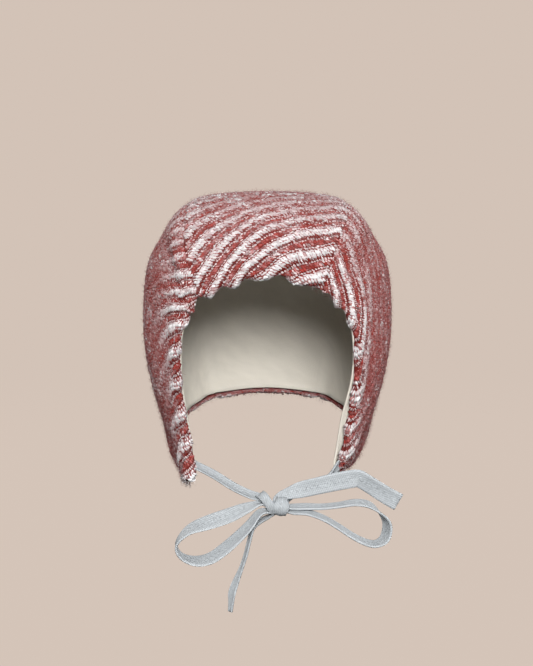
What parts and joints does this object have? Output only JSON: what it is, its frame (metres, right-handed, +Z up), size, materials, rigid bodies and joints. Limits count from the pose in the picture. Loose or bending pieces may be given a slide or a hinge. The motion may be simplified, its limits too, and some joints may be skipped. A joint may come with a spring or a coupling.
{
  "type": "baby bonnet",
  "caption": "Lined knitted baby bonnet in striped wool, seamed from a middle panel and side panels, with a gathered front edge and ribbon ties knotted in a bow under the chin.",
  "frame": {"origin": "the point of the lining that the crown of the head touches", "axes": "+Z up, +Y to the back of the head, +X to the right of someone facing the bonnet"},
  "size_m": [0.1478, 0.1663, 0.2291],
  "materials": {
    "knit": "soft brushed wool in red and white stripes",
    "lining": "plain jersey",
    "ribbon": "fine woven tape with a faint sheen"
  },
  "bodies": {
    "root": {"middle_panel": "knit", "side_panel_left": "knit", "side_panel_right": "knit", "lining": "lining", "bow_knot": "ribbon", "tie_strap_left": "ribbon", "tie_strap_right": "ribbon", "tie_loop_left": "ribbon", "tie_loop_right": "ribbon", "tie_tail_left": "ribbon", "tie_tail_right": "ribbon"}
  },
  "joints": []
}
